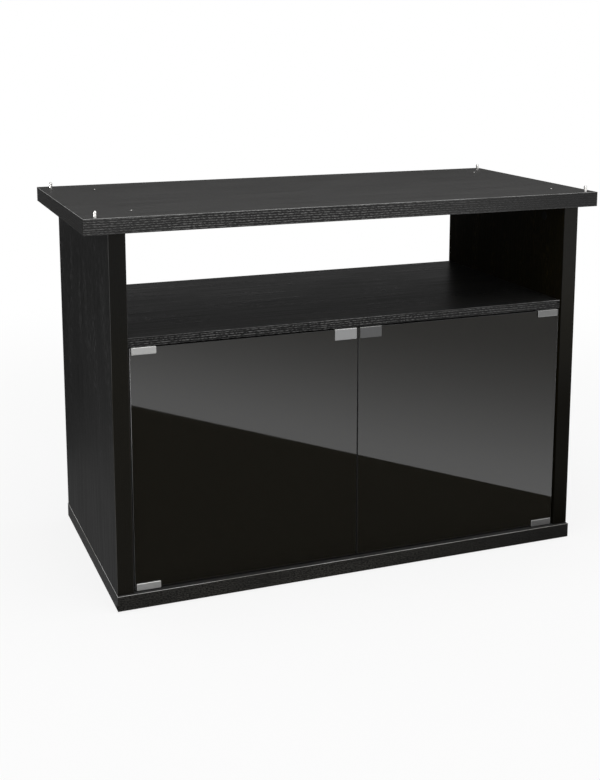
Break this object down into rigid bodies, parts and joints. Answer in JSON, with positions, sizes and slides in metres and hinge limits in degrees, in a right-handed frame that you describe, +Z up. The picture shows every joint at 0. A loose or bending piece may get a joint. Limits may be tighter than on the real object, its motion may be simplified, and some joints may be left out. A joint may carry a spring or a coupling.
{
  "type": "terrarium cabinet",
  "caption": "Low black cabinet with an open bay above a closed compartment behind two hinged glass doors, and locating pins on its overhanging top.",
  "frame": {"origin": "on the floor, at the middle of the outer box", "axes": "+X across the front to the right as seen from the front, +Y from the front to the back, +Z up"},
  "size_m": [1, 0.472, 0.7123],
  "materials": {
    "black_board_top": "wood-grain foil, satin",
    "black_board_side": "wood-grain foil, satin",
    "black_board_base": "wood-grain foil, satin",
    "black_board_shelf": "wood-grain foil, satin",
    "black_edge_band": "wood-grain edge band, satin",
    "black_hardboard": "painted, matt",
    "blackened_screw": "blackened",
    "nickel_plated_steel": "nickel plated",
    "zinc_die_cast": "cast, matt",
    "black_plastic": "moulded, satin",
    "grey_plastic": "moulded, satin",
    "beech": "bare wood",
    "bright_pin": "turned and plated",
    "black_glass": "polished",
    "satin_clip": "satin plated",
    "black_rubber": "matt",
    "dark_steel_screw": "oiled",
    "steel_pin": "ground",
    "satin_strike": "satin plated",
    "magnet": "nickel plated",
    "spring_steel": "drawn wire"
  },
  "bodies": {
    "cabinet": {"top_panel": "black_board_top", "top_edge_bands": "black_edge_band", "left_side_panel": "black_board_side", "right_side_panel": "black_board_side", "side_edge_bands": "black_edge_band", "base_panel": "black_board_base", "base_edge_bands": "black_edge_band", "upper_shelf": "black_board_shelf", "shelf_edge_band": "black_edge_band", "back_panel": "black_hardboard", "back_panel_screws": "blackened_screw", "inner_shelf": "black_board_shelf", "inner_shelf_edge_band": "black_edge_band", "shelf_pins": "nickel_plated_steel", "cam_locks": "zinc_die_cast", "cam_bolts": "nickel_plated_steel", "cam_caps": "black_plastic", "dowels": "beech", "locating_pins": "bright_pin", "threaded_inserts": "nickel_plated_steel", "floor_glides": "grey_plastic", "hinge_bushes": "grey_plastic", "latch_housing": "black_plastic", "latch_screws": "nickel_plated_steel", "left_latch_spring": "spring_steel", "right_latch_spring": "spring_steel"},
    "left_door": {"left_glass_door": "black_glass", "left_hinge_clips": "satin_clip", "left_clip_pads": "black_rubber", "left_clamp_screws": "dark_steel_screw", "left_pivot_pins": "steel_pin", "left_strike_plate": "satin_strike", "left_strike_liners": "black_rubber"},
    "left_plunger": {"left_latch_plunger": "black_plastic", "left_latch_magnet": "magnet"},
    "right_door": {"right_glass_door": "black_glass", "right_hinge_clips": "satin_clip", "right_clip_pads": "black_rubber", "right_clamp_screws": "dark_steel_screw", "right_pivot_pins": "steel_pin", "right_strike_plate": "satin_strike", "right_strike_liners": "black_rubber"},
    "right_plunger": {"right_latch_plunger": "black_plastic", "right_latch_magnet": "magnet"}
  },
  "joints": [
    {"name": "left_door_hinge", "type": "hinge", "parent": "cabinet", "child": "left_door", "pos_m": [-0.41, -0.2173, 0.252], "axis": [0, 0, -1], "range_deg": [0, 110]},
    {"name": "right_door_hinge", "type": "hinge", "parent": "cabinet", "child": "right_door", "pos_m": [0.41, -0.2173, 0.252], "axis": [0, 0, 1], "range_deg": [0, 110]},
    {"name": "left_plunger_slide", "type": "slide", "parent": "cabinet", "child": "left_plunger", "axis": [0, 1, 0], "range_m": [0, 0.003], "stiffness_N_per_m": 300, "springref_m": -0.005, "deforming": ["left_latch_spring"]},
    {"name": "right_plunger_slide", "type": "slide", "parent": "cabinet", "child": "right_plunger", "axis": [0, 1, 0], "range_m": [0, 0.003], "stiffness_N_per_m": 300, "springref_m": -0.005, "deforming": ["right_latch_spring"]}
  ]
}
